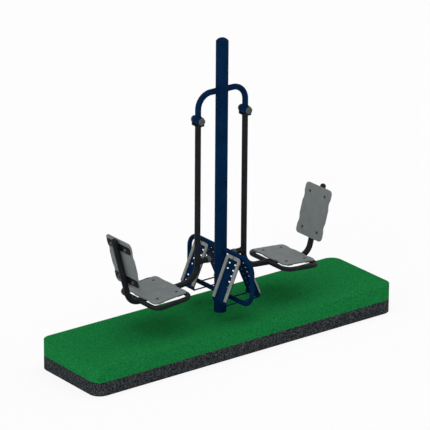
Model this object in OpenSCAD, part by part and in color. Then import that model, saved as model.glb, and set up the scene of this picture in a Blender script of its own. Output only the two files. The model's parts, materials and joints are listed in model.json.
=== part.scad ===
/* [Play surface] */
// Length of the play surface
surface_len = 2640; // [2500:10:3000]
// Width of the play surface
surface_wid = 690; // [600:10:900]
// Corner radius of the play surface in plan
surface_corner_r = 85; // [40:5:250]
// Thickness of the green wearing layer
turf_t = 113; // [60:1:150]
// Thickness of the black shock layer below it
shock_t = 101; // [95:1:140]

/* [Main post] */
// Outside diameter of the main post
post_d = 88.9; // [76:0.1:102]
// Wall of the main post
post_wall = 4; // [3:0.5:6]
// Height of the post's top above the play surface
post_h = 2027; // [1950:1:2200]
// Rise of the domed cap on the post
post_cap_rise = 24; // [12:1:36]
// Side of the square foot flange
flange_w = 240; // [225:1:255]
// Thickness of the foot flange
flange_t = 12; // [8:1:18]
// Corner radius of the foot flange
flange_corner_r = 20; // [5:1:30]
// Distance between the anchor holes
anchor_pitch = 180; // [165:1:190]
// Diameter of an anchor hole
anchor_hole_d = 18; // [12:1:22]
// Height of the gussets on the foot flange
gusset_h = 70; // [40:1:78]
// Thickness of a gusset
gusset_t = 8; // [5:1:12]

/* [Arch and hubs] */
// Outside diameter of the arch and swing arm tubes
tube_d = 42.4; // [38:0.1:48]
// Wall of the arch and swing arm tubes
tube_wall = 3.2; // [2:0.1:4]
// Distance from the post to each swing axis
hub_x = 205.5; // [180:0.5:240]
// Height of the swing axes above the play surface
hub_h = 1466; // [1420:1:1520]
// Height of the arch's centreline above the play surface
arch_h = 1650; // [1620:1:1720]
// Bend radius of the arch
arch_bend_r = 108; // [70:1:120]
// Outside diameter of a bearing housing
hub_d = 60.3; // [56:0.1:70]
// Length of a bearing housing
hub_len = 66; // [56:1:80]
// Bore of a ball bearing
bearing_bore = 20; // [16:1:22]
// Outside diameter of a ball bearing
bearing_od = 47; // [44:1:49]
// Width of a ball bearing
bearing_w = 14; // [12:1:16]
// Thickness of a yoke ear
ear_t = 6; // [4:1:10]
// Width of the yoke
yoke_w = 50; // [44:1:56]
// Diameter of an axle cap
axle_cap_d = 50; // [46:1:56]
// Height of an axle cap
axle_cap_h = 13; // [12.5:0.5:18]

/* [Swing arms] */
// Height at which the upright and the seat tube meet
seat_tube_h = 290; // [270:1:330]
// Slope of the seat tube, down and away from the post
seat_slope = 5.15; // [0:0.05:8]
// Distance from the swing axis to the back corner
back_reach = 584; // [560:1:640]
// Lean of the back tube away from the post
back_lean = 14.8; // [8:0.1:20]
// Length of the back tube from the back corner
back_tube_len = 519; // [505:1:600]
// Bend radius below the upright
low_bend_r = 115; // [90:1:140]
// Bend radius at the back corner
back_bend_r = 98; // [80:1:120]
// Height of the stop stub above the play surface
stub_h = 416; // [405:1:440]
// Gap between the rubber stop and the post as the arm hangs upright
stop_gap = 50; // [44:1:60]
// Diameter of the rubber stop
stop_d = 50; // [44:1:60]
// Thickness of the rubber stop
stop_t = 32; // [20:1:40]

/* [Seats] */
// Length of a seat or back board
board_len = 380; // [360:1:400]
// Width of a seat or back board
board_wid = 284; // [260:1:290]
// Thickness of a board
board_t = 12; // [8:1:16]
// Corner radius of a board
board_corner_r = 30; // [15:1:40]
// Length of a hand notch in a board's long edge
notch_len = 70; // [40:1:90]
// Depth of a hand notch
notch_depth = 8; // [4:1:12]
// Distance of a hand notch from the board's middle
notch_pos = 87; // [70:1:100]
// Bolt spacing along a board
bolt_pitch_len = 266; // [240:1:280]
// Bolt spacing across a board
bolt_pitch_wid = 164; // [140:1:180]
// Diameter of a board bolt
bolt_d = 10; // [8:1:12]
// Diameter of a bolt's domed head
bolt_head_d = 23; // [20:1:26]
// Width of a flat strap behind a board
strap_w = 56; // [40:1:60]
// Thickness of a seat strap
seat_strap_t = 6; // [5:1:12]
// Thickness of a back strap
back_strap_t = 5; // [4:1:10]
// Length by which a strap runs past its bolts
strap_end = 50; // [22:1:54]
// Distance of the seat's middle along the seat tube
seat_pos = 363; // [350:1:380]
// Distance of the back board's middle along the back tube
back_pos = 326; // [320:1:340]
// Outside diameter of the seat ring and foot loop tubes
ring_d = 33.7; // [30:0.1:38]
// Wall of the seat ring and foot loop tubes
ring_wall = 2.6; // [2:0.1:4]
// Half length of the seat ring along the seat tube, on its centreline
ring_half_len = 150; // [145:1:170]
// Half width of the seat ring, on its centreline
ring_half_wid = 221; // [215:1:240]
// Bend radius of the seat ring
ring_bend_r = 65; // [50:1:90]
// Rise of the seat ring's centreline above the seat tube's
ring_rise = 7.4; // [0:0.1:8]

/* [Foot rest] */
// Height of the foot loops' upper tube above the play surface
loop_top_h = 478; // [470:1:520]
// Height of the foot loops' lower tube above the play surface
loop_low_h = 142; // [130:1:148]
// Reach of a foot loop from the post's middle, on its centreline
loop_reach = 362; // [350:1:400]
// Bend radius of a foot loop
loop_bend_r = 98; // [60:1:110]
// Width of a foot plate
foot_w = 155; // [140:1:170]
// Length of a foot plate below its neck
foot_len = 330; // [310:1:336]
// Tilt of a foot plate from the vertical
foot_tilt = 24.3; // [22:0.1:27]
// Distance of a foot plate's middle from the post's middle
foot_y = 185; // [170:1:200]
// Thickness of the foot plate's sheet
sheet_t = 4; // [3:0.5:6]
// Thickness of the grey grip strips
grip_t = 12; // [3:0.5:14]
// Width of the grey grip strips
grip_w = 25; // [18:1:30]
// Length of the heel lip
heel_len = 26; // [24:1:42]
// Fold of the heel lip
heel_fold = 44.5; // [36:0.5:50]
// Length of a drain slot
slot_len = 21; // [14:1:26]
// Width of a drain slot
slot_w = 9.5; // [6:0.5:12]
// Number of slot rows on a foot plate
slot_rows = 7; // [4:1:7]
// Spacing of the slot rows
slot_pitch = 41; // [30:1:42]
// Distance between the two columns of slots
slot_columns = 62; // [56:1:66]
// Diameter of the tie rods
rod_d = 10; // [8:1:12]
// Distance between the tie rods of a foot plate
rod_pitch = 110; // [90:1:120]

/* [Hidden] */
$fn = 96;

left = -1;
right = 1;
front = -1;
rear = 1;
post_blue = [0.03, 0.13, 0.26];
frame_black = [0.1, 0.11, 0.12];
board_grey = [0.45, 0.48, 0.48];
zinc = [0.62, 0.64, 0.66];
rubber_grey = [0.33, 0.35, 0.36];

right_angle = 90;
// Overrun of a cut past the faces it opens
over = 1;
// Root gap of a welded joint
weld_gap = 0.1;
// Clearance round a fixed pin, ring or stud
fit_gap = 0.05;
// Clearance between pieces that turn past each other
run_gap = 0.3;
// Clearance of the surface layers round the post and the flange
pour_gap = 0.5;

ground = shock_t + turf_t;
post_r = post_d / 2;
tube_r = tube_d / 2;
hub_r = hub_d / 2;
ring_r = ring_d / 2;

// Slimming of the swing arm's bends, and how far its straights run into them
bend_set = 0.05;
bend_lap_share = 20;

// Foot flange
gusset_toe = 12;
gusset_margin = 6;
drain_d = 30;

// Hubs, from the swing axis outward along Y
ear_gap = 0.6;
bearing_inset = 1;
shoulder_t = 3.5;
bridge_gap = 2;
ear_in = hub_len / 2 + ear_gap;
ear_out = ear_in + ear_t;
yoke_drop = hub_r + bridge_gap + ear_t;
boss_d = bearing_bore + 7;
axle_d = bearing_bore - 2 * fit_gap;
ball_pitch_r = (bearing_bore + bearing_od) / 4;
ball_r = (bearing_od - bearing_bore) * 0.147;
race_gap = ball_r * 0.52;
seal_t = 1;
balls = 8;
screw_d = 12;
screw_len = 24;
screw_af = 19;
screw_head_h = 7;
washer_d = 36;
washer_t = 2.5;
cap_wall = 2.5;
cap_round = 4;
cap_bore_d = washer_d + 2 * run_gap;

// Swing arm, in the plane Y = 0
yoke_bottom_h = hub_h - yoke_drop;
back_corner_h = seat_tube_h - back_reach * tan(seat_slope);
back_turn = right_angle - back_lean + seat_slope;
back_bend_x = back_reach / cos(seat_slope) - back_bend_r * tan(back_turn / 2);
arm_path = [
  [hub_x, ground + yoke_bottom_h],
  [hub_x, ground + seat_tube_h],
  [hub_x + back_reach, ground + back_corner_h],
  [hub_x + back_reach + back_tube_len * sin(back_lean),
   ground + back_corner_h + back_tube_len * cos(back_lean)]];
stop_x = post_r + stop_gap;
stub_end_t = 4;
stop_stud_d = 10;
stop_stud_len = 18;
stop_round = 10;
end_cap_rise = 18;
end_cap_plug = 20;

// Boards and their fasteners
bolt_hole_d = bolt_d + 1;
bolt_head_h = 5.5;
bolt_tail = 3;
socket_af = 6;
socket_depth = 3;
nut_af = 17;
nut_h = 8;
nut_washer_d = 22;
nut_washer_t = 2;
strap_corner_r = 12;
strap_len = bolt_pitch_wid + 2 * strap_end;
seat_strap_len = bolt_pitch_len + 2 * strap_end;
strap_seat = tube_r + weld_gap;

// Foot plates, in a frame that hangs from the loop's upper tube
foot_back = 8.3;
foot_front = foot_back + sheet_t;
neck_len = 13;
foot_end = neck_len + foot_len;
foot_corner_r = 28;
neck_w = foot_w - 2 * foot_corner_r / 2;
grip_gap = 10;
grip_stop = 10;
grip_round = 8;
first_slot = 54;
rod_h = loop_low_h + 3;
rod_gap = 0.2;
heel_lean = heel_fold - foot_tilt;
heel_rise = sheet_t * tan(heel_fold / 2);
heel_x = foot_back * cos(foot_tilt) + (foot_end - heel_rise) * sin(foot_tilt);
heel_z = loop_top_h + foot_back * sin(foot_tilt) - (foot_end - heel_rise) * cos(foot_tilt);
rod_half = heel_x - (heel_z - rod_h + rod_d / 2) * tan(heel_lean) - rod_gap;

// Rectangle with round corners, centred
module round_rect(size, r) {
  square([size[0] - 2 * r, size[1]], center = true);
  square([size[0], size[1] - 2 * r], center = true);
  for (x = [-1, 1], y = [-1, 1])
    translate([x * (size[0] / 2 - r), y * (size[1] / 2 - r)])
      circle(r);
}

// Ring section of a round tube
module tube_section(d, wall) {
  difference() {
    circle(d = d);
    circle(d = d - 2 * wall);
  }
}

function bearing_of(p, q) = atan2(q[1] - p[1], q[0] - p[0]);
function span_of(p, q) = norm(q - p);
function step_from(p, a, s) = p + s * [cos(a), sin(a)];
// Turn at a corner, from -180 to 180 degrees
function turn_at(path, i) =
  let (t = bearing_of(path[i], path[i + 1]) - bearing_of(path[i - 1], path[i]))
  t > 180 ? t - 360 : t < -180 ? t + 360 : t;
// Length that a bend takes from each side of its corner
function take_at(path, radii, i) =
  i == 0 || i == len(path) - 1 ? 0 : radii[i - 1] * tan(abs(turn_at(path, i)) / 2);

// Bent tube along a path in the XY plane, one radius for each inner corner
// Where set is above zero, each bend is that much slimmer and its ends reach into the straights
module bent_tube(path, radii, d, wall, set = 0) {
  lap = set * bend_lap_share;
  for (i = [0 : len(path) - 2]) {
    a = bearing_of(path[i], path[i + 1]);
    s = take_at(path, radii, i) - (i > 0 ? lap : 0);
    e = take_at(path, radii, i + 1) - (i < len(path) - 2 ? lap : 0);
    p = step_from(path[i], a, s);
    translate([p[0], p[1], 0])
      rotate([0, 0, a])
        rotate([0, 90, 0])
          linear_extrude(span_of(path[i], path[i + 1]) - s - e)
            tube_section(d, wall);
  }
  for (i = [1 : len(path) - 2]) {
    a = bearing_of(path[i - 1], path[i]);
    t = turn_at(path, i);
    side = t > 0 ? 1 : -1;
    p = step_from(path[i], a, -take_at(path, radii, i));
    c = step_from(p, a + side * 90, radii[i - 1]);
    translate([c[0], c[1], 0])
      rotate([0, 0, t > 0 ? a - 90 : a + 90 + t])
        rotate_extrude(angle = abs(t))
          translate([radii[i - 1], 0])
            tube_section(d - 2 * set, wall - 2 * set);
  }
}

// Turns the XY plane into the XZ plane
module upright_xz() {
  rotate([90, 0, 0])
    children();
}

// Turns the XY plane into the YZ plane
module upright_yz() {
  rotate([90, 0, 90])
    children();
}

// Lays out one side, mirrored for the left
module on_side(side) {
  mirror([side < 0 ? 1 : 0, 0, 0])
    children();
}

module at_hub(side) {
  on_side(side)
    translate([hub_x, 0, ground + hub_h])
      children();
}

// Frame along the seat tube, X outward and Z square to the seat
module on_seat_tube(side) {
  on_side(side)
    translate([hub_x, 0, ground + seat_tube_h])
      rotate([0, seat_slope, 0])
        children();
}

// Frame along the back tube, Z up the tube and X away from the sitter
module on_back_tube(side) {
  on_side(side)
    translate([hub_x + back_reach, 0, ground + back_corner_h])
      rotate([0, back_lean, 0])
        children();
}

// Frame of a foot plate, X out of its face and Z up its slope
module on_foot(side, end) {
  on_side(side)
    mirror([0, end < 0 ? 1 : 0, 0])
      translate([0, foot_y, ground + loop_top_h])
        rotate([0, -foot_tilt, 0])
          children();
}

// Spherical dome standing on Z = 0
module dome(d, rise) {
  ball = (d * d / 4 + rise * rise) / (2 * rise);
  intersection() {
    translate([0, 0, rise - ball])
      sphere(ball);
    cylinder(d = d, h = rise);
  }
}

// Both directions of an axis along Y
module both_ends() {
  for (turn = [90, -90])
    rotate([turn, 0, 0])
      children();
}

module safety_surface_top() {
  color([0.1, 0.45, 0.22])
    translate([0, 0, shock_t])
      linear_extrude(turf_t)
        difference() {
          round_rect([surface_len, surface_wid], surface_corner_r);
          circle(d = post_d + 2 * pour_gap);
        }
}

module safety_surface_base() {
  color([0.2, 0.2, 0.21])
    linear_extrude(shock_t)
      difference() {
        round_rect([surface_len, surface_wid], surface_corner_r);
        square(flange_w + 2 * pour_gap, center = true);
      }
}

module main_post() {
  color(post_blue)
    translate([0, 0, flange_t])
      linear_extrude(ground + post_h - post_cap_rise - flange_t)
        tube_section(post_d, post_wall);
}

module post_cap() {
  color(post_blue)
    translate([0, 0, ground + post_h - post_cap_rise])
      difference() {
        dome(post_d, post_cap_rise);
        dome(post_d - 2 * post_wall, post_cap_rise - post_wall);
      }
}

module base_flange() {
  color(zinc)
    linear_extrude(flange_t)
      difference() {
        round_rect([flange_w, flange_w], flange_corner_r);
        circle(d = drain_d);
        for (x = [-1, 1], y = [-1, 1])
          translate([x * anchor_pitch / 2, y * anchor_pitch / 2])
            circle(d = anchor_hole_d);
      }
}

module flange_gussets() {
  reach = flange_w / 2 - gusset_margin;
  color(zinc)
    translate([0, 0, flange_t])
      difference() {
        for (a = [0 : 90 : 270])
          rotate([0, 0, a])
            translate([0, gusset_t / 2, 0])
              upright_xz()
                linear_extrude(gusset_t)
                  polygon([
                    [post_r / 2, 0], [reach, 0], [reach, gusset_toe],
                    [post_r + gusset_toe, gusset_h], [post_r / 2, gusset_h]]);
        translate([0, 0, -over])
          cylinder(r = post_r + weld_gap, h = gusset_h + 2 * over);
      }
}

module arch_tube(side) {
  color(post_blue)
    on_side(side)
      difference() {
        upright_xz()
          bent_tube([[0, ground + arch_h], [hub_x, ground + arch_h], [hub_x, ground + hub_h]],
                    [arch_bend_r], tube_d, tube_wall);
        translate([0, 0, ground + arch_h - tube_d])
          cylinder(r = post_r + weld_gap, h = 2 * tube_d);
        translate([hub_x, 0, ground + hub_h])
          upright_xz()
            cylinder(r = hub_r + weld_gap, h = hub_len, center = true);
      }
}

module hub_housing(side) {
  seat_depth = bearing_w + bearing_inset;
  color(post_blue)
    at_hub(side)
      upright_xz()
        difference() {
          cylinder(d = hub_d, h = hub_len, center = true);
          cylinder(d = bearing_od - 2 * shoulder_t, h = hub_len + over, center = true);
          for (z = [-1, 1])
            translate([0, 0, z * (hub_len - seat_depth + over) / 2])
              cylinder(d = bearing_od + 2 * fit_gap, h = seat_depth + over, center = true);
        }
}

// Outer ring with its seals, and the balls
module hub_bearing() {
  outer_r = bearing_od / 2;
  seal_r = ball_pitch_r - race_gap + run_gap;
  rotate_extrude()
    difference() {
      translate([seal_r, 0])
        square([outer_r - seal_r, bearing_w]);
      translate([seal_r - over, seal_t])
        square([ball_pitch_r + race_gap - seal_r + over, bearing_w - 2 * seal_t]);
      translate([ball_pitch_r, bearing_w / 2])
        circle(ball_r + fit_gap);
    }
  for (i = [0 : balls - 1])
    rotate([0, 0, i * 360 / balls])
      translate([ball_pitch_r, 0, bearing_w / 2])
        sphere(ball_r);
}

module hub_bearings(side) {
  color(zinc)
    at_hub(side)
      both_ends()
        translate([0, 0, hub_len / 2 - bearing_inset - bearing_w])
          hub_bearing();
}

// Inner rings of the two bearings and the spacer between them
module bearing_sleeve(side) {
  ring_out = ball_pitch_r - race_gap;
  ring_base = hub_len / 2 - bearing_inset - bearing_w;
  color(zinc)
    at_hub(side) {
      both_ends()
        translate([0, 0, ring_base])
          rotate_extrude()
            difference() {
              translate([bearing_bore / 2, 0])
                square([ring_out - bearing_bore / 2, bearing_w]);
              translate([ball_pitch_r, bearing_w / 2])
                circle(ball_r + run_gap);
            }
      upright_xz()
        linear_extrude(2 * (ring_base - fit_gap), center = true)
          difference() {
            circle(d = boss_d);
            circle(d = bearing_bore);
          }
    }
}

// Side view of a yoke ear, round at the top and square on the bridge
module yoke_ear() {
  circle(d = yoke_w);
  translate([-yoke_w / 2, -yoke_drop])
    square([yoke_w, yoke_drop]);
}

// Two ears joined by a bridge plate, with a boss inside each ear for the inner ring
module arm_yoke(side) {
  boss_len = ear_gap + bearing_inset;
  color(frame_black)
    at_hub(side) {
      translate([-yoke_w / 2, -ear_in, -yoke_drop])
        cube([yoke_w, 2 * ear_in, ear_t]);
      upright_xz()
        difference() {
          for (z = [-1, 1])
            translate([0, 0, z * (ear_in + ear_t / 2)]) {
              linear_extrude(ear_t, center = true)
                yoke_ear();
              translate([0, 0, -z * (ear_t + boss_len) / 2])
                cylinder(d = boss_d, h = boss_len, center = true);
            }
          cylinder(d = axle_d + 2 * fit_gap, h = 2 * ear_out + 2 * over, center = true);
        }
    }
}

module pivot_axle(side) {
  color(zinc)
    at_hub(side)
      upright_xz()
        difference() {
          cylinder(d = axle_d, h = 2 * ear_out, center = true);
          for (z = [-1, 1])
            translate([0, 0, z * (ear_out - screw_len / 2)])
              cylinder(d = screw_d + 2 * fit_gap, h = screw_len + over, center = true);
        }
}

// Hexagon screws and washers that hold the axle between the ears
module axle_screws(side) {
  color(zinc)
    at_hub(side)
      both_ends()
        translate([0, 0, ear_out + fit_gap]) {
          cylinder(d = washer_d, h = washer_t);
          translate([0, 0, washer_t])
            cylinder(d = screw_af / cos(30), h = screw_head_h, $fn = 6);
          translate([0, 0, -(screw_len - over)])
            cylinder(d = screw_d, h = screw_len);
        }
}

module axle_caps(side) {
  color(rubber_grey)
    at_hub(side)
      both_ends()
        translate([0, 0, ear_out])
          difference() {
            rotate_extrude() {
              square([axle_cap_d / 2 - cap_round, axle_cap_h]);
              square([axle_cap_d / 2, axle_cap_h - cap_round]);
              translate([axle_cap_d / 2 - cap_round, axle_cap_h - cap_round])
                circle(cap_round);
            }
            translate([0, 0, -over])
              cylinder(d = cap_bore_d, h = axle_cap_h - cap_wall + over);
          }
}

module swing_arm(side) {
  color(frame_black)
    on_side(side)
      upright_xz()
        bent_tube(arm_path, [low_bend_r, back_bend_r], tube_d, tube_wall, bend_set);
}

module tube_cap(side) {
  color(frame_black)
    on_back_tube(side)
      translate([0, 0, back_tube_len]) {
        dome(tube_d, end_cap_rise);
        translate([0, 0, -end_cap_plug])
          cylinder(d = tube_d - 2 * tube_wall - 2 * fit_gap, h = end_cap_plug + over);
      }
}

module stop_stub(side) {
  len = hub_x - stop_x - stop_t;
  color(frame_black)
    on_side(side)
      difference() {
        translate([stop_x + stop_t, 0, ground + stub_h])
          rotate([0, 90, 0])
            difference() {
              cylinder(d = tube_d, h = len);
              translate([0, 0, stub_end_t])
                cylinder(d = tube_d - 2 * tube_wall, h = len);
              translate([0, 0, -over])
                cylinder(d = stop_stud_d + 2 * fit_gap, h = stub_end_t + 2 * over);
            }
        translate([hub_x, 0, ground + stub_h - tube_d])
          cylinder(r = tube_r + weld_gap, h = 2 * tube_d);
      }
}

module stop_buffer(side) {
  color(rubber_grey)
    on_side(side)
      translate([stop_x + stop_t, 0, ground + stub_h])
        rotate([0, -90, 0]) {
          rotate_extrude() {
            square([stop_d / 2 - stop_round, stop_t]);
            square([stop_d / 2, stop_t - stop_round]);
            translate([stop_d / 2 - stop_round, stop_t - stop_round])
              circle(stop_round);
          }
          translate([0, 0, -stop_stud_len])
            cylinder(d = stop_stud_d, h = stop_stud_len + over);
        }
}

// Closed ring of tube, cut where it meets the seat tube and the bend behind it
module seat_ring(side) {
  color(frame_black)
    on_seat_tube(side)
      difference() {
        translate([seat_pos, 0, ring_rise])
          for (m = [0, 1])
            mirror([m, 0, 0])
              bent_tube([[0, ring_half_wid], [ring_half_len, ring_half_wid],
                         [ring_half_len, -ring_half_wid], [0, -ring_half_wid]],
                        [ring_bend_r, ring_bend_r], ring_d, ring_wall);
        rotate([0, 90, 0])
          cylinder(r = tube_r + weld_gap, h = back_bend_x);
        translate([back_bend_x, 0, back_bend_r])
          upright_xz()
            rotate([0, 0, -90])
              rotate_extrude(angle = back_turn)
                translate([back_bend_r, 0])
                  circle(tube_r + weld_gap);
      }
}

// Board outline with hand notches in its long edges, X along the board
module board_outline() {
  notch_r = (notch_len * notch_len / 4 + notch_depth * notch_depth) / (2 * notch_depth);
  difference() {
    round_rect([board_len, board_wid], board_corner_r);
    for (x = [-1, 1], y = [-1, 1])
      translate([x * notch_pos, y * (board_wid / 2 - notch_depth + notch_r)])
        circle(notch_r);
  }
}

module at_board_bolts() {
  for (x = [-1, 1], y = [-1, 1])
    translate([x * bolt_pitch_len / 2, y * bolt_pitch_wid / 2, 0])
      children();
}

// Board standing on Z = 0, with its long side along X
module board() {
  color(board_grey)
    difference() {
      linear_extrude(board_t)
        board_outline();
      translate([0, 0, -over])
        at_board_bolts()
          cylinder(d = bolt_hole_d, h = board_t + 2 * over);
    }
}

// Two flat straps under a board, along its long side or across it
module straps(along, strap_t) {
  len = along ? seat_strap_len : strap_len;
  pitch = along ? bolt_pitch_wid : bolt_pitch_len;
  color(frame_black)
    translate([0, 0, -strap_t])
      difference() {
        for (k = [-1, 1])
          translate(along ? [0, k * pitch / 2, 0] : [k * pitch / 2, 0, 0])
            linear_extrude(strap_t)
              round_rect(along ? [len, strap_w] : [strap_w, len], strap_corner_r);
        translate([0, 0, -over])
          at_board_bolts()
            cylinder(d = bolt_hole_d, h = strap_t + 2 * over);
      }
}

module board_bolts(strap_t) {
  reach = board_t + strap_t + nut_washer_t + nut_h + bolt_tail;
  color([0.08, 0.09, 0.1])
    translate([0, 0, board_t])
      at_board_bolts() {
        difference() {
          dome(bolt_head_d, bolt_head_h);
          translate([0, 0, bolt_head_h - socket_depth])
            cylinder(d = socket_af / cos(30), h = socket_depth + over, $fn = 6);
        }
        translate([0, 0, -reach])
          cylinder(d = bolt_d, h = reach + over);
      }
}

// Nuts and washers under the straps
module board_nuts(strap_t) {
  color(zinc)
    translate([0, 0, -strap_t])
      at_board_bolts()
        difference() {
          union() {
            translate([0, 0, -nut_washer_t])
              cylinder(d = nut_washer_d, h = nut_washer_t);
            translate([0, 0, -nut_washer_t - nut_h])
              cylinder(d = nut_af / cos(30), h = nut_h, $fn = 6);
          }
          translate([0, 0, -nut_washer_t - nut_h - over])
            cylinder(d = bolt_d + 2 * fit_gap, h = nut_h + nut_washer_t + 2 * over);
        }
}

// Board frame on the seat: long side across the seat tube
module seat_frame(side) {
  on_seat_tube(side)
    translate([seat_pos, 0, strap_seat + seat_strap_t])
      rotate([0, 0, 90])
        children();
}

// Board frame on the back: long side up the tube, face towards the sitter
module back_frame(side) {
  on_back_tube(side)
    translate([-strap_seat - back_strap_t, 0, back_pos])
      rotate([0, -90, 0])
        children();
}

module foot_loop(end) {
  color(post_blue)
    mirror([0, end < 0 ? 1 : 0, 0])
      difference() {
        upright_yz()
          bent_tube([[0, ground + loop_top_h], [loop_reach, ground + loop_top_h],
                     [loop_reach, ground + loop_low_h], [0, ground + loop_low_h]],
                    [loop_bend_r, loop_bend_r], ring_d, ring_wall);
        translate([0, 0, ground])
          cylinder(r = post_r + weld_gap, h = loop_top_h + ring_d);
        for (y = [-1, 1])
          translate([0, foot_y + y * rod_pitch / 2, ground + rod_h])
            rotate([0, 90, 0])
              cylinder(d = rod_d + 2 * fit_gap, h = ring_d + 2 * over, center = true);
      }
}

// Side profile of the folded sheet, X out of its face and Y up its slope
module foot_profile() {
  heel = [-sin(heel_fold), -cos(heel_fold)];
  inward = [-cos(heel_fold), sin(heel_fold)];
  toe = [foot_front, -foot_end];
  polygon([
    [foot_back, 0], [foot_front, 0], toe, toe + heel_len * heel,
    toe + heel_len * heel + sheet_t * inward, [foot_back, -foot_end + heel_rise]]);
}

// Face outline of the sheet, Y up its slope
module foot_outline() {
  translate([0, -neck_len - foot_corner_r])
    for (x = [-1, 1])
      translate([x * (foot_w / 2 - foot_corner_r), 0])
        circle(foot_corner_r);
  translate([-neck_w / 2, -neck_len - foot_corner_r])
    square([neck_w, neck_len + foot_corner_r]);
  translate([-foot_w / 2, -foot_end - heel_len])
    square([foot_w, foot_len + heel_len - foot_corner_r]);
}

module slot() {
  for (x = [-1, 1])
    translate([x * (slot_len - slot_w) / 2, 0])
      circle(d = slot_w);
  square([slot_len - slot_w, slot_w], center = true);
}

// Folded sheet with two columns of drain slots, coped onto the loop
module foot_plate(side, end) {
  color(post_blue)
    on_foot(side, end)
      difference() {
        intersection() {
          translate([0, foot_w / 2, 0])
            upright_xz()
              linear_extrude(foot_w)
                foot_profile();
          translate([-foot_end, 0, 0])
            upright_yz()
              linear_extrude(2 * foot_end)
                foot_outline();
        }
        translate([foot_back - over, 0, 0])
          upright_yz()
            linear_extrude(sheet_t + 2 * over)
              for (k = [0 : slot_rows - 1], x = [-1, 1])
                translate([x * slot_columns / 2, -neck_len - first_slot - k * slot_pitch])
                  slot();
        upright_xz()
          cylinder(r = ring_r + weld_gap, h = foot_w + 2 * over, center = true);
      }
}

// Outline of the two grip strips, J shaped, with a gap at the top
module grip_outline() {
  inner_w = foot_w - 2 * grip_w;
  difference() {
    union() {
      translate([-foot_w / 2, grip_stop - foot_end])
        square([foot_w, foot_len - grip_stop - foot_corner_r]);
      translate([0, -neck_len - foot_corner_r]) {
        square([foot_w - 2 * foot_corner_r, 2 * foot_corner_r], center = true);
        for (x = [-1, 1])
          translate([x * (foot_w / 2 - foot_corner_r), 0])
            circle(foot_corner_r);
      }
    }
    translate([-inner_w / 2, -foot_end - over])
      square([inner_w, foot_len - grip_w - grip_round + over]);
    translate([0, -neck_len - grip_w - grip_round]) {
      square([inner_w - 2 * grip_round, 2 * grip_round], center = true);
      for (x = [-1, 1])
        translate([x * (inner_w / 2 - grip_round), 0])
          circle(grip_round);
    }
    translate([0, -neck_len])
      square([grip_gap, 2 * grip_w + 2 * grip_round], center = true);
  }
}

module foot_grips(side, end) {
  color([0.48, 0.5, 0.5])
    on_foot(side, end)
      difference() {
        translate([foot_front, 0, 0])
          upright_yz()
            linear_extrude(grip_t)
              grip_outline();
        upright_xz()
          cylinder(r = ring_r + weld_gap, h = foot_w + 2 * over, center = true);
      }
}

// Rods that tie each pair of foot plates through the foot loops
module foot_tie_rods() {
  color(post_blue)
    for (end = [-1, 1], y = [-1, 1])
      translate([0, end * (foot_y + y * rod_pitch / 2), ground + rod_h])
        rotate([0, 90, 0])
          cylinder(d = rod_d, h = 2 * rod_half, center = true);
}

safety_surface_top();
safety_surface_base();
main_post();
post_cap();
base_flange();
flange_gussets();
arch_tube(left);  // arch_tube_left
arch_tube(right);  // arch_tube_right
hub_housing(left);  // hub_housing_left
hub_housing(right);  // hub_housing_right
hub_bearings(left);  // hub_bearings_left
hub_bearings(right);  // hub_bearings_right
foot_loop(front);  // foot_loop_front
foot_loop(rear);  // foot_loop_rear
foot_plate(left, front);  // foot_plate_front_left
foot_plate(right, front);  // foot_plate_front_right
foot_plate(left, rear);  // foot_plate_rear_left
foot_plate(right, rear);  // foot_plate_rear_right
foot_grips(left, front);  // foot_grips_front_left
foot_grips(right, front);  // foot_grips_front_right
foot_grips(left, rear);  // foot_grips_rear_left
foot_grips(right, rear);  // foot_grips_rear_right
foot_tie_rods();
swing_arm(left);  // swing_arm_left
arm_yoke(left);  // arm_yoke_left
pivot_axle(left);  // pivot_axle_left
bearing_sleeve(left);  // bearing_sleeve_left
axle_screws(left);  // axle_screws_left
axle_caps(left);  // axle_caps_left
stop_stub(left);  // stop_stub_left
stop_buffer(left);  // stop_buffer_left
seat_ring(left);  // seat_ring_left
seat_frame(left) straps(true, seat_strap_t);  // seat_straps_left
seat_frame(left) board();  // seat_board_left
seat_frame(left) board_bolts(seat_strap_t);  // seat_bolts_left
seat_frame(left) board_nuts(seat_strap_t);  // seat_nuts_left
back_frame(left) straps(false, back_strap_t);  // back_straps_left
back_frame(left) board();  // back_board_left
back_frame(left) board_bolts(back_strap_t);  // back_bolts_left
back_frame(left) board_nuts(back_strap_t);  // back_nuts_left
tube_cap(left);  // tube_cap_left
swing_arm(right);  // swing_arm_right
arm_yoke(right);  // arm_yoke_right
pivot_axle(right);  // pivot_axle_right
bearing_sleeve(right);  // bearing_sleeve_right
axle_screws(right);  // axle_screws_right
axle_caps(right);  // axle_caps_right
stop_stub(right);  // stop_stub_right
stop_buffer(right);  // stop_buffer_right
seat_ring(right);  // seat_ring_right
seat_frame(right) straps(true, seat_strap_t);  // seat_straps_right
seat_frame(right) board();  // seat_board_right
seat_frame(right) board_bolts(seat_strap_t);  // seat_bolts_right
seat_frame(right) board_nuts(seat_strap_t);  // seat_nuts_right
back_frame(right) straps(false, back_strap_t);  // back_straps_right
back_frame(right) board();  // back_board_right
back_frame(right) board_bolts(back_strap_t);  // back_bolts_right
back_frame(right) board_nuts(back_strap_t);  // back_nuts_right
tube_cap(right);  // tube_cap_right
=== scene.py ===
import json
import math
import bpy
from mathutils import Matrix, Vector


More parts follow.
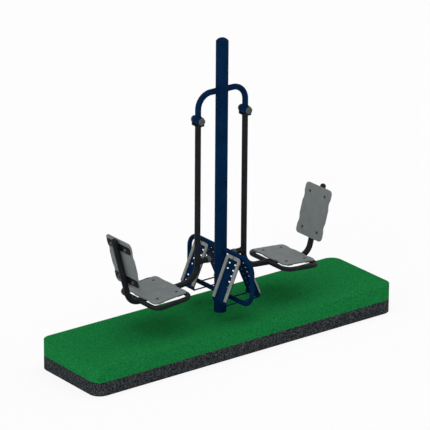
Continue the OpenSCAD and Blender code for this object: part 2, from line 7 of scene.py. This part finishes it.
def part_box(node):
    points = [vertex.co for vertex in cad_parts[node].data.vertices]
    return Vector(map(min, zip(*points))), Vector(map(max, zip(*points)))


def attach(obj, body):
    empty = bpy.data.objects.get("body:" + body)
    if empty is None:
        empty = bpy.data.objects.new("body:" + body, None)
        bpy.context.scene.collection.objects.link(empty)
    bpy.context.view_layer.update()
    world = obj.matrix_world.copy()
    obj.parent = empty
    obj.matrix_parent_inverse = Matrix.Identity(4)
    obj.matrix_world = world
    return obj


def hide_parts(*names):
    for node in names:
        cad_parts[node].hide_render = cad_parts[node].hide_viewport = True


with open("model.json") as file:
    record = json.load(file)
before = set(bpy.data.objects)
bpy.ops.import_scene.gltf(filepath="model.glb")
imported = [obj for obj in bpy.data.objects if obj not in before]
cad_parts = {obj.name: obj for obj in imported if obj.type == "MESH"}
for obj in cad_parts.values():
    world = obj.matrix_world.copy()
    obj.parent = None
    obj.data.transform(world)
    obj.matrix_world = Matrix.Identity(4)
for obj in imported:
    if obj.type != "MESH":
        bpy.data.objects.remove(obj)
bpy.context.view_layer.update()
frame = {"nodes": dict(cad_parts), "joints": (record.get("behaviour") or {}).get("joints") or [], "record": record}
nodes = frame["nodes"]
joints = {j["name"]: j for j in frame["joints"]}
mm = 0.001
sides = {"left": -1, "right": 1}

print("frame loaded:", len(nodes), "nodes")


def hexColour(code):
    # sRGB hex to the linear values that the shaders take
    def linear(c):
        return c / 12.92 if c <= 0.04045 else ((c + 0.055) / 1.055) ** 2.4
    return tuple(linear(int(code[i:i + 2], 16) / 255) for i in (0, 2, 4)) + (1.0,)


def addNode(tree, kind, settings=None, links=None):
    # one node with its settings; links may hold plain values or other nodes' outputs
    node = tree.nodes.new(kind)
    for key, value in (settings or {}).items():
        setattr(node, key, value)
    for key, value in (links or {}).items():
        if isinstance(value, bpy.types.NodeSocket):
            tree.links.new(value, node.inputs[key])
        else:
            node.inputs[key].default_value = value
    return node


def newMaterial(name):
    material = bpy.data.materials.new(name)
    material.use_nodes = True
    tree = material.node_tree
    shader = next(n for n in tree.nodes if n.type == "BSDF_PRINCIPLED")
    return material, tree, shader


def colourRamp(tree, fac, stops):
    ramp = addNode(tree, "ShaderNodeValToRGB", links={"Fac": fac})
    band = ramp.color_ramp
    while len(band.elements) < len(stops):
        band.elements.new(1.0)  # its place is set below
    for element, (place, code) in zip(band.elements, stops):
        element.position = place
        element.color = hexColour(code)
    return ramp.outputs["Color"]


def addMesh(name, points, faces, material, body, smooth):
    mesh = bpy.data.meshes.new(name)
    mesh.from_pydata([tuple(p) for p in points], [], faces)
    mesh.update()
    for face in mesh.polygons:
        face.use_smooth = True
    mesh.set_sharp_from_angle(angle=math.radians(smooth))
    mesh.materials.append(material)
    piece = bpy.data.objects.new(name, mesh)
    bpy.context.scene.collection.objects.link(piece)
    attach(piece, body)
    return piece


cloudBand = (0.3, 0.7)  # where a noise cloud turns from the dark tone to the light one
sprayed = {"cloudDetail": 3.0, "peelDetail": 2.0, "glossDown": 0.04, "glossUp": 0.05, "bump": 0.2}


def powderCoat(name, look):
    # polyester powder sprayed on steel and baked: a satin film with a fine orange peel
    material, tree, shader = newMaterial(name)
    place = addNode(tree, "ShaderNodeTexCoord").outputs["Object"]
    cloud = addNode(tree, "ShaderNodeTexNoise", links={
        "Vector": place, "Scale": 1 / (look["cloudMm"] * mm), "Detail": sprayed["cloudDetail"]})
    peel = addNode(tree, "ShaderNodeTexNoise", links={
        "Vector": place, "Scale": 1 / (look["peelMm"] * mm), "Detail": sprayed["peelDetail"]})
    tree.links.new(colourRamp(tree, cloud.outputs["Fac"], [
        (cloudBand[0], look["darkHex"]), (cloudBand[1], look["lightHex"])]), shader.inputs["Base Color"])
    gloss = addNode(tree, "ShaderNodeMapRange", links={
        "Value": cloud.outputs["Fac"],
        "To Min": look["roughness"] - sprayed["glossDown"], "To Max": look["roughness"] + sprayed["glossUp"]})
    tree.links.new(gloss.outputs["Result"], shader.inputs["Roughness"])
    bump = addNode(tree, "ShaderNodeBump", links={
        "Height": peel.outputs["Fac"], "Strength": sprayed["bump"], "Distance": look["peelDepthMm"] * mm})
    tree.links.new(bump.outputs["Normal"], shader.inputs["Normal"])
    shader.inputs["Specular IOR Level"].default_value = look["specular"]
    return material


moulded = {"cloudDetail": 4.0, "scuffDetail": 6.0, "scuffWarp": 0.6, "scuffBand": (0.35, 0.65),
           "glossSwing": 0.06, "bump": 0.3}


def mouldedPolymer(name, look):
    # coloured right through, with the eroded grain of the mould or the sheet press
    material, tree, shader = newMaterial(name)
    place = addNode(tree, "ShaderNodeTexCoord").outputs["Object"]
    cloud = addNode(tree, "ShaderNodeTexNoise", links={
        "Vector": place, "Scale": 1 / (look["cloudMm"] * mm), "Detail": moulded["cloudDetail"]})
    grain = addNode(tree, "ShaderNodeTexVoronoi", links={
        "Vector": place, "Scale": 1 / (look["grainMm"] * mm)})
    scuff = addNode(tree, "ShaderNodeTexNoise", links={
        "Vector": place, "Scale": 1 / (look["scuffMm"] * mm),
        "Detail": moulded["scuffDetail"], "Distortion": moulded["scuffWarp"]})
    tree.links.new(colourRamp(tree, cloud.outputs["Fac"], [
        (cloudBand[0], look["darkHex"]), (cloudBand[1], look["lightHex"])]), shader.inputs["Base Color"])
    gloss = addNode(tree, "ShaderNodeMapRange", links={
        "Value": scuff.outputs["Fac"],
        "From Min": moulded["scuffBand"][0], "From Max": moulded["scuffBand"][1],
        "To Min": look["roughness"] - moulded["glossSwing"],
        "To Max": look["roughness"] + moulded["glossSwing"]})
    tree.links.new(gloss.outputs["Result"], shader.inputs["Roughness"])
    bump = addNode(tree, "ShaderNodeBump", links={
        "Height": grain.outputs["Distance"], "Strength": moulded["bump"],
        "Distance": look["grainDepthMm"] * mm})
    tree.links.new(bump.outputs["Normal"], shader.inputs["Normal"])
    shader.inputs["Specular IOR Level"].default_value = look["specular"]
    return material


pits = {"detail": 5.0, "roughness": 0.7}


def granuleRubber(name, look):
    # rubber crumbs bound with polyurethane and trowelled: each crumb catches the light by itself
    material, tree, shader = newMaterial(name)
    place = addNode(tree, "ShaderNodeTexCoord").outputs["Object"]
    crumbs = addNode(tree, "ShaderNodeTexVoronoi", links={
        "Vector": place, "Scale": 1 / (look["crumbMm"] * mm)})
    hollows = addNode(tree, "ShaderNodeTexNoise", links={
        "Vector": place, "Scale": 1 / (look["pitMm"] * mm),
        "Detail": pits["detail"], "Roughness": pits["roughness"]})
    shade = addNode(tree, "ShaderNodeSeparateColor", links={"Color": crumbs.outputs["Color"]})
    mixed = addNode(tree, "ShaderNodeMath", {"operation": "MULTIPLY"}, {
        0: hollows.outputs["Fac"], 1: look["pitShare"]})
    total = addNode(tree, "ShaderNodeMath", {"operation": "MULTIPLY_ADD"}, {
        0: shade.outputs["Red"], 1: 1 - look["pitShare"], 2: mixed.outputs["Value"]})
    tree.links.new(colourRamp(tree, total.outputs["Value"], look["stops"]), shader.inputs["Base Color"])
    height = addNode(tree, "ShaderNodeMath", {"operation": "SUBTRACT"}, {
        0: hollows.outputs["Fac"], 1: crumbs.outputs["Distance"]})
    bump = addNode(tree, "ShaderNodeBump", links={
        "Height": height.outputs["Value"], "Strength": look["relief"], "Distance": look["depthMm"] * mm})
    tree.links.new(bump.outputs["Normal"], shader.inputs["Normal"])
    shader.inputs["Roughness"].default_value = look["roughness"]
    shader.inputs["Specular IOR Level"].default_value = look["specular"]
    return material


zincSheen = 0.07  # how far the roughness swings from one spangle to the next


def zincSteel(name, look):
    # zinc on steel: a grey metal with a cloudy or spangled sheen
    material, tree, shader = newMaterial(name)
    place = addNode(tree, "ShaderNodeTexCoord").outputs["Object"]
    spangle = addNode(tree, "ShaderNodeTexVoronoi", links={
        "Vector": place, "Scale": 1 / (look["spangleMm"] * mm)})
    shade = addNode(tree, "ShaderNodeSeparateColor", links={"Color": spangle.outputs["Color"]})
    tree.links.new(colourRamp(tree, shade.outputs["Red"], [
        (0.0, look["darkHex"]), (1.0, look["lightHex"])]), shader.inputs["Base Color"])
    gloss = addNode(tree, "ShaderNodeMapRange", links={
        "Value": shade.outputs["Green"],
        "To Min": look["roughness"] - zincSheen, "To Max": look["roughness"] + zincSheen})
    tree.links.new(gloss.outputs["Result"], shader.inputs["Roughness"])
    shader.inputs["Metallic"].default_value = 1.0
    return material


# the peel of a powder coat is 1.5 mm wide, drawn at 4 mm to show
postCoat = {
    "darkHex": "031d3b", "lightHex": "062648", "roughness": 0.55, "specular": 0.012,
    "cloudMm": 90, "peelMm": 4, "peelDepthMm": 0.05}
armCoat = {
    "darkHex": "17191c", "lightHex": "202226", "roughness": 0.5, "specular": 0.05,
    "cloudMm": 70, "peelMm": 4, "peelDepthMm": 0.05}
# a darker copy of the black powder coat for the straps under the boards: painted shade
strapCoatPaintedShade = {
    "darkHex": "101113", "lightHex": "17181b", "roughness": 0.5, "specular": 0.05,
    "cloudMm": 50, "peelMm": 4, "peelDepthMm": 0.05}
boltBlack = {
    "darkHex": "1c1e20", "lightHex": "26282b", "roughness": 0.38, "specular": 0.3,
    "cloudMm": 12, "peelMm": 2, "peelDepthMm": 0.04}
# the grain of sheet and mouldings is taken as 0.8 mm, drawn at 1.5 to 3 mm to show
boardSheet = {
    "darkHex": "6c7172", "lightHex": "757a7b", "roughness": 0.6, "specular": 0.15,
    "cloudMm": 60, "grainMm": 2.5, "grainDepthMm": 0.12, "scuffMm": 35}
gripStrip = {
    "darkHex": "7e8382", "lightHex": "898e8c", "roughness": 0.65, "specular": 0.15,
    "cloudMm": 30, "grainMm": 3, "grainDepthMm": 0.2, "scuffMm": 20}
axleCap = {
    "darkHex": "434748", "lightHex": "4d5152", "roughness": 0.55, "specular": 0.2,
    "cloudMm": 25, "grainMm": 2, "grainDepthMm": 0.08, "scuffMm": 15}
stopRubber = {
    "darkHex": "474d51", "lightHex": "51575b", "roughness": 0.75, "specular": 0.15,
    "cloudMm": 15, "grainMm": 1.5, "grainDepthMm": 0.1, "scuffMm": 12}
greenLayer = {
    # granules are 1 to 4 mm, drawn at 7 mm so that they show from the camera
    "crumbMm": 7, "pitMm": 12, "pitShare": 0.5, "relief": 0.35, "depthMm": 2.0,
    "roughness": 0.9, "specular": 0.02,
    "stops": [(0.2, "106530"), (0.5, "17773b"), (0.8, "1f8846")]}
blackLayer = {
    # shredded tyre crumb of 2 to 6 mm, drawn at 7 mm
    "crumbMm": 7, "pitMm": 10, "pitShare": 0.4, "relief": 0.6, "depthMm": 3.0,
    "roughness": 0.9, "specular": 0.02,
    "stops": [(0.2, "191b1d"), (0.5, "2e3134"), (0.8, "505456")]}
# dipped zinc has a spangle of its real size; ground and plated steel only a faint cloudiness
hotDip = {"darkHex": "8d9194", "lightHex": "a9adb0", "roughness": 0.45, "spangleMm": 12}
groundSteel = {"darkHex": "b0b3b5", "lightHex": "bcbfc1", "roughness": 0.2, "spangleMm": 6}
# weathered to grey
platedZinc = {"darkHex": "6f7375", "lightHex": "868a8c", "roughness": 0.4, "spangleMm": 4}

materials = {
    "blue_powder_coat": powderCoat("powderCoatBlue", postCoat),
    "black_powder_coat": powderCoat("powderCoatBlack", armCoat),
    "black_bolts": powderCoat("blackOxideSteel", boltBlack),
    "grey_board": mouldedPolymer("polyethyleneSheetGrey", boardSheet),
    "grey_grip_plastic": mouldedPolymer("mouldedGripGrey", gripStrip),
    "grey_cap_plastic": mouldedPolymer("mouldedNylonGrey", axleCap),
    "grey_rubber": mouldedPolymer("mouldedRubberGrey", stopRubber),
    "green_rubber_surface": granuleRubber("pouredRubberGreen", greenLayer),
    "black_rubber_surface": granuleRubber("pouredRubberBlack", blackLayer),
    "galvanised_steel": zincSteel("hotDipGalvanisedSteel", hotDip),
    "bearing_steel": zincSteel("groundBearingSteel", groundSteel),
    "zinc_fasteners": zincSteel("zincPlatedSteel", platedZinc)}

for row in frame["record"]["subparts"]:
    mesh = nodes[row["node"]].data
    mesh.materials.clear()
    mesh.materials.append(materials[row["material_slot"]])

# the straps under the seat and back boards take the darker copy of the black coat: painted shade
strapShadeFinish = powderCoat("powderCoatBlackStrapsPaintedShade", strapCoatPaintedShade)
for part in ("seat_straps_", "back_straps_"):
    for word in sides:
        nodes[part + word].data.materials[0] = strapShadeFinish

grip = {"round": 3.5 * mm, "segments": 3, "sharp": 35, "weld": 0.02 * mm}

for end in ("front", "rear"):
    for word in sides:
        # moulded strips have soft edges; the cut faces are joined first so that the rounding runs through
        strips = nodes["foot_grips_%s_%s" % (end, word)]
        weld = strips.modifiers.new("joinFaces", "WELD")
        weld.merge_threshold = grip["weld"]
        rounding = strips.modifiers.new("softEdges", "BEVEL")
        rounding.width = grip["round"]
        rounding.segments = grip["segments"]
        rounding.limit_method = "ANGLE"
        rounding.angle_limit = math.radians(grip["sharp"])
        rounding.use_clamp_overlap = True

print("materials set on the CAD nodes")


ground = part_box("safety_surface_top")[1].z
tube = {"armR": 21.2 * mm, "ringR": 16.85 * mm, "postR": 44.45 * mm, "hubR": 30.15 * mm}
hubX = abs(joints["right_swing"]["pos_m"][0])
hubZ = joints["right_swing"]["pos_m"][2]


def seatFrame(side, seat):
    # along the seat tube, Z square to the seat; Y is mirrored for the left
    turn = Matrix.Rotation(math.radians(seat["slope"]), 4, "Y")
    place = Matrix.Translation((hubX, 0, ground + seat["tubeH"])) @ turn
    return Matrix.Diagonal((side, 1, 1, 1)) @ place


def backFrame(side, seat):
    # up the back tube, X away from the sitter
    drop = seat["backReach"] * math.tan(math.radians(seat["slope"]))
    turn = Matrix.Rotation(math.radians(seat["lean"]), 4, "Y")
    place = Matrix.Translation((hubX + seat["backReach"], 0, ground + seat["tubeH"] - drop)) @ turn
    return Matrix.Diagonal((side, 1, 1, 1)) @ place


seatDims = {
    "tubeH": 290 * mm, "slope": 5.15, "backReach": 584 * mm, "lean": 14.8,
    "seatPos": 363 * mm, "backPos": 326 * mm, "seatStrap": 6 * mm, "backStrap": 5 * mm, "weldGap": 0.1 * mm}


board = {
    "length": 380 * mm, "width": 284 * mm, "thick": 12 * mm, "corner": 30 * mm, "edge": 3 * mm,
    "notchLength": 70 * mm, "notchDepth": 8 * mm, "notchPlace": 87 * mm,
    "sideSteps": 120, "cornerSteps": 12, "edgeSteps": 5, "rim": 2 * mm, "merge": 1e-6, "smooth": 50}


def boardOutline():
    # once round the board: straight ends, round corners and shallow hand notches in the long edges
    halfL, halfW, r = board["length"] / 2, board["width"] / 2, board["corner"]
    steps, turns = board["sideSteps"], board["cornerSteps"]

    def edgeY(x):
        reach = abs(abs(x) - board["notchPlace"]) / (board["notchLength"] / 2)
        dip = 1 - reach ** 2 if reach < 1 else 0
        return halfW - board["notchDepth"] * dip

    upper = [(x, edgeY(x)) for x in
             (-(halfL - r) + 2 * (halfL - r) * i / steps for i in range(steps + 1))]
    corner = [(halfL - r + r * math.sin(t), halfW - r + r * math.cos(t))
              for t in (math.radians(90) * i / turns for i in range(1, turns + 1))]
    rightSide = upper + corner
    lowerRight = [(x, -y) for x, y in reversed(corner)]
    lower = [(x, -y) for x, y in reversed(upper)]
    leftLow = [(-x, -y) for x, y in corner]
    leftHigh = [(-x, y) for x, y in reversed(corner)]
    points = rightSide + lowerRight + lower + leftLow + leftHigh
    return [p for i, p in enumerate(points) if math.dist(p, points[i - 1]) > board["merge"]]


def inset(points, depth):
    # moves each point of a closed clockwise outline inward along its normal
    moved = []
    for i, p in enumerate(points):
        a, b = Vector(points[i - 1]), Vector(points[(i + 1) % len(points)])
        along = (b - a).normalized()
        moved.append((p[0] + along.y * depth, p[1] - along.x * depth))
    return moved


def addBoard(name, matrix, body, node):
    # rings of the outline from the underside to the top: how far inwards, and how high
    outline = boardOutline()
    r, t, steps = board["edge"], board["thick"], board["edgeSteps"]
    quarter = [math.radians(90) * i / steps for i in range(steps + 1)]
    levels = [(r + board["rim"], 0)]
    levels += [(r - r * math.cos(a), r - r * math.sin(a)) for a in reversed(quarter)]
    levels += [(r - r * math.cos(a), t - r + r * math.sin(a)) for a in quarter]
    levels += [(r + board["rim"], t)]
    points, count = [], len(outline)
    for inwards, z in levels:
        for x, y in inset(outline, inwards):
            points.append(matrix @ Vector((x, y, z)))
    faces = []
    for level in range(len(levels) - 1):
        for i in range(count):
            j = (i + 1) % count
            a, b = level * count, (level + 1) * count
            faces.append((a + i, b + i, b + j, a + j))
    faces.append(tuple(range(count)))
    faces.append(tuple(reversed(range((len(levels) - 1) * count, len(levels) * count))))
    if matrix.determinant() < 0:
        faces = [tuple(reversed(f)) for f in faces]
    piece = addMesh(name, points, faces, materials["grey_board"], body, board["smooth"])
    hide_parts(node)


for word, side in sides.items():
    seatTop = tube["armR"] + seatDims["weldGap"] + seatDims["seatStrap"]
    backTop = tube["armR"] + seatDims["weldGap"] + seatDims["backStrap"]
    seatPlace = (seatFrame(side, seatDims) @ Matrix.Translation((seatDims["seatPos"], 0, seatTop))
                 @ Matrix.Rotation(math.radians(90), 4, "Z"))
    backPlace = (backFrame(side, seatDims) @ Matrix.Translation((-backTop, 0, seatDims["backPos"]))
                 @ Matrix.Rotation(math.radians(-90), 4, "Y"))
    addBoard("seatBoard_" + word, seatPlace, word + "_arm", "seat_board_" + word)
    addBoard("backBoard_" + word, backPlace, word + "_arm", "back_board_" + word)

print("boards made")


bead = {"radius": 3.2 * mm, "ripple": 0.16, "pitch": 3.5 * mm, "rings": 4, "round": 8, "sink": 0.25,
        "leastRipples": 6, "leastSteps": 24, "endSize": 0.35, "endRise": 3.0, "smooth": 70}


def addBead(name, path, outs, body, slotName, closed=True, matrix=None, radius=None):
    # a rippled weld bead along a path, its back towards the corner that it fills
    matrix = matrix or Matrix.Identity(4)
    size = radius or bead["radius"]
    total = sum((path[(i + 1) % len(path)] - path[i]).length
                for i in range(len(path) if closed else len(path) - 1))
    ripples = max(bead["leastRipples"], round(total / bead["pitch"]))
    points, walked = [], 0.0
    for i, p in enumerate(path):
        before = path[i - 1] if closed or i else p
        after = path[(i + 1) % len(path)] if closed or i < len(path) - 1 else p
        along = (after - before).normalized()
        out = outs[i] - along * outs[i].dot(along)
        out.normalize()
        across = along.cross(out)
        swell = 1 + bead["ripple"] * abs(math.sin(math.pi * ripples * walked / total))
        fromEnd = min(i, len(path) - 1 - i) / len(path)
        taper = 1.0 if closed else min(1.0, bead["endSize"] + bead["endRise"] * fromEnd)
        for k in range(bead["round"]):
            a = 2 * math.pi * k / bead["round"]
            reach = size * swell * taper
            centre = p + out * size * bead["sink"]
            points.append(matrix @ (centre + out * reach * math.cos(a) + across * reach * math.sin(a)))
        walked += (after - p).length
    n, m = len(path), bead["round"]
    faces = [(i * m + k, i * m + (k + 1) % m, (i + 1) % n * m + (k + 1) % m, (i + 1) % n * m + k)
             for i in range(n if closed else n - 1) for k in range(m)]
    if not closed:
        faces.append(tuple(reversed(range(m))))
        faces.append(tuple(range((n - 1) * m, n * m)))
    if matrix.determinant() > 0:
        faces = [tuple(reversed(f)) for f in faces]
    piece = addMesh(name, points, faces, materials[slotName], body, bead["smooth"])


def saddle(centre, branch, carrier, branchR, carrierR, offset=0.0):
    # where a tube along branch meets a tube along carrier; offset shifts it across the carrier
    w, a = Vector(branch).normalized(), Vector(carrier).normalized()
    b = a.cross(w)
    steps = max(bead["leastSteps"], round(2 * math.pi * branchR / bead["pitch"] * bead["rings"]))
    path, outs = [], []
    for i in range(steps):
        t = 2 * math.pi * i / steps
        sideways = max(-carrierR, min(carrierR, branchR * math.sin(t) + offset))
        lift = math.sqrt(max(0.0, carrierR ** 2 - sideways ** 2))
        path.append(Vector(centre) + a * branchR * math.cos(t) + b * sideways + w * lift)
        radial = a * math.cos(t) + b * math.sin(t)
        outs.append(radial + (b * sideways + w * lift) / carrierR)
    return path, outs


def ringOn(centre, normal, radius):
    # a circle on a flat face, for a tube that stands square on a plate
    w = Vector(normal).normalized()
    a = w.orthogonal().normalized()
    b = w.cross(a)
    steps = round(2 * math.pi * radius / bead["pitch"] * bead["rings"])
    path = [Vector(centre) + (a * math.cos(t) + b * math.sin(t)) * radius
            for t in (2 * math.pi * i / steps for i in range(steps))]
    return path, [(p - Vector(centre)).normalized() + w for p in path]


frameWelds = {"archH": 1650 * mm, "loopTopH": 478 * mm, "loopLowH": 142 * mm, "yokeDrop": 38.15 * mm,
              "stubH": 416 * mm, "stubFit": 1.02, "ringHalf": 150 * mm, "ringRise": 7.4 * mm}
upZ, alongX, alongY = (0, 0, 1), (1, 0, 0), (0, 1, 0)

for word, side in sides.items():
    path, outs = saddle((0, 0, ground + frameWelds["archH"]), (side, 0, 0), upZ, tube["armR"], tube["postR"])
    addBead("weldArchPost_" + word, path, outs, "frame", "blue_powder_coat")
    path, outs = saddle((side * hubX, 0, hubZ), upZ, alongY, tube["armR"], tube["hubR"])
    addBead("weldArchHub_" + word, path, outs, "frame", "blue_powder_coat")
    bottom = hubZ - frameWelds["yokeDrop"]
    path, outs = ringOn((side * hubX, 0, bottom), (0, 0, -1), tube["armR"])
    addBead("weldArmYoke_" + word, path, outs, word + "_arm", "black_powder_coat")
    path, outs = saddle((side * hubX, 0, ground + frameWelds["stubH"]), (-side, 0, 0), upZ,
                        tube["armR"], tube["armR"] * frameWelds["stubFit"])
    addBead("weldStubArm_" + word, path, outs, word + "_arm", "black_powder_coat")
    for place, reach in (("near", -1), ("far", 1)):
        for end, y in (("front", -1), ("rear", 1)):
            x = seatDims["seatPos"] + reach * frameWelds["ringHalf"]
            path, outs = saddle((x, 0, 0), (0, y, 0), alongX, tube["ringR"], tube["armR"],
                                y * frameWelds["ringRise"])
            addBead("weldRing_%s_%s_%s" % (place, end, word), path, outs, word + "_arm",
                    "black_powder_coat", matrix=seatFrame(side, seatDims))

strapWelds = {"width": 48 * mm, "besideTube": 10.5 * mm, "underStrap": 2.4 * mm, "radius": 3 * mm,
              "lean": 0.6, "seatPitch": 164 * mm, "backPitch": 266 * mm}

for word, side in sides.items():
    # a fillet on each side of the tube under every strap
    rows = (("Seat", seatFrame(side, seatDims), seatDims["seatPos"], strapWelds["seatPitch"],
             (1, 0, 0), (0, 0, 1)),
            ("Back", backFrame(side, seatDims), seatDims["backPos"], strapWelds["backPitch"],
             (0, 0, 1), (-1, 0, 0)))
    for part, matrix, middle, pitch, along, up in rows:
        a, u = Vector(along), Vector(up)
        for k, place in ((-1, "low"), (1, "high")):
            for y in (-1, 1):
                steps = round(strapWelds["width"] / bead["pitch"] * bead["rings"])
                corner = (Vector((0, y * strapWelds["besideTube"], 0))
                          + u * (tube["armR"] - strapWelds["underStrap"]))
                start = middle + k * pitch / 2 - strapWelds["width"] / 2
                path = [corner + a * (start + strapWelds["width"] * i / steps) for i in range(steps + 1)]
                outs = [Vector((0, y, 0)) - u * strapWelds["lean"]] * len(path)
                end = "rear" if y > 0 else "front"
                addBead("weldStrap%s_%s_%s_%s" % (part, place, end, word), path, outs,
                        word + "_arm", "black_powder_coat", closed=False, matrix=matrix,
                        radius=strapWelds["radius"])

for end, y in (("front", -1), ("rear", 1)):
    for level in ("loopTopH", "loopLowH"):
        path, outs = saddle((0, 0, ground + frameWelds[level]), (0, y, 0), upZ, tube["ringR"], tube["postR"])
        addBead("weldLoopPost_%s_%s" % (level, end), path, outs, "frame", "blue_powder_coat")

print("weld beads made")


stageLook = {"floorSize": 60.0, "floorHex": "ffffff", "floorGlow": 0.86, "floorRough": 0.9,
             "floorDrop": 0.002, "fill": 0.02,
             "key": 2.98, "keyAngle": 60, "keyCount": 5, "keySpread": 56, "keyFront": -0.06,
             "side": 0.3, "front": 1.3, "sideAngle": 60, "sideRise": 0.1, "sideCount": 4, "frontPanel": 2}


def shownWhite(tree):
    # 1 for the rays that show the white itself: to the camera, in gloss and through glass
    rays = addNode(tree, "ShaderNodeLightPath")
    seen = addNode(tree, "ShaderNodeMath", {"operation": "ADD"}, {
        0: rays.outputs["Is Camera Ray"], 1: rays.outputs["Is Glossy Ray"]})
    shown = addNode(tree, "ShaderNodeMath", {"operation": "ADD", "use_clamp": True}, {
        0: seen.outputs["Value"], 1: rays.outputs["Is Transmission Ray"]})
    return shown.outputs["Value"]


def addFloor():
    mesh = bpy.data.meshes.new("studioFloor")
    h = stageLook["floorSize"] / 2
    mesh.from_pydata([(-h, -h, 0), (h, -h, 0), (h, h, 0), (-h, h, 0)], [], [(0, 1, 2, 3)])
    floor = bpy.data.objects.new("studioFloor", mesh)
    floor.location.z = -stageLook["floorDrop"]
    bpy.context.scene.collection.objects.link(floor)
    material, tree, shader = newMaterial("palePaperFloor")
    shader.inputs["Base Color"].default_value = hexColour(stageLook["floorHex"])
    shader.inputs["Roughness"].default_value = stageLook["floorRough"]
    shader.inputs["Specular IOR Level"].default_value = 0.0
    # part of the white that the camera sees comes from the floor itself, so the shadow on it stays pale
    share = addNode(tree, "ShaderNodeMath", {"operation": "MULTIPLY"}, {
        0: shownWhite(tree), 1: stageLook["floorGlow"]})
    white = addNode(tree, "ShaderNodeEmission", links={"Color": (1, 1, 1, 1), "Strength": 1.0})
    mix = addNode(tree, "ShaderNodeMixShader", links={
        0: share.outputs["Value"], 1: shader.outputs["BSDF"], 2: white.outputs["Emission"]})
    output = next(n for n in tree.nodes if n.type == "OUTPUT_MATERIAL")
    tree.links.new(mix.outputs["Shader"], output.inputs["Surface"])
    mesh.materials.append(material)


def setWorld():
    world = bpy.data.worlds.new("studioWorld")
    bpy.context.scene.world = world
    world.use_nodes = True
    tree = world.node_tree
    tree.nodes.clear()
    soft = addNode(tree, "ShaderNodeBackground", links={"Color": (1, 1, 1, 1), "Strength": stageLook["fill"]})
    white = addNode(tree, "ShaderNodeBackground", links={"Color": (1, 1, 1, 1), "Strength": 1.0})
    mix = addNode(tree, "ShaderNodeMixShader", links={
        0: shownWhite(tree), 1: soft.outputs["Background"], 2: white.outputs["Background"]})
    addNode(tree, "ShaderNodeOutputWorld", links={"Surface": mix.outputs["Shader"]})


def addSun(name, direction, strength, angle):
    lamp = bpy.data.lights.new(name, "SUN")
    lamp.energy = strength
    lamp.angle = math.radians(angle)
    sun = bpy.data.objects.new(name, lamp)
    sun.rotation_mode = "QUATERNION"
    sun.rotation_quaternion = Vector(direction).to_track_quat("Z", "Y")
    bpy.context.scene.collection.objects.link(sun)


# the view was fitted to the post, arms, seats and surface; distances are in metres
shot = {"yaw": -37.545, "pitch": 20.683, "roll": 0.42, "lens": 287.2, "sensor": 36.0,
        "distance": 24.045, "aimRight": -0.0413, "aimUp": 0.7221, "clipNear": 1.0, "clipFar": 200.0}


def addCamera():
    a, e, r = (math.radians(shot[k]) for k in ("yaw", "pitch", "roll"))
    back = Vector((math.sin(a) * math.cos(e), -math.cos(a) * math.cos(e), math.sin(e)))
    right = Vector((math.cos(a), math.sin(a), 0))
    up = back.cross(right)
    tilted = right * math.cos(r) + up * math.sin(r)
    upright = up * math.cos(r) - right * math.sin(r)
    place = right * shot["aimRight"] + Vector((0, 0, ground + shot["aimUp"])) + back * shot["distance"]
    data = bpy.data.cameras.new("studioCamera")
    data.lens, data.sensor_width = shot["lens"], shot["sensor"]
    data.clip_start, data.clip_end = shot["clipNear"], shot["clipFar"]
    camera = bpy.data.objects.new("studioCamera", data)
    bpy.context.scene.collection.objects.link(camera)
    turn = Matrix((tilted, upright, back)).transposed().to_4x4()
    camera.matrix_world = Matrix.Translation(place) @ turn
    bpy.context.scene.camera = camera


addFloor()
setWorld()
addCamera()
# a long soft box over the machine and parallel to it, as a row of suns
for i in range(stageLook["keyCount"]):
    lean = math.radians(stageLook["keySpread"] * (2 * i / (stageLook["keyCount"] - 1) - 1))
    addSun("softKey_%d" % i, (math.sin(lean), stageLook["keyFront"], math.cos(lean)),
           stageLook["key"] / stageLook["keyCount"], stageLook["keyAngle"])
# broad low panels all round, the strongest on the camera's side
for i in range(stageLook["sideCount"]):
    turn = 2 * math.pi * (i + 0.5) / stageLook["sideCount"]
    addSun("sidePanel_%d" % i, (math.cos(turn), math.sin(turn), stageLook["sideRise"]),
           stageLook["front"] if i == stageLook["frontPanel"] else stageLook["side"], stageLook["sideAngle"])
bpy.context.scene.view_settings.view_transform = "Standard"

print("stage, light and camera set")
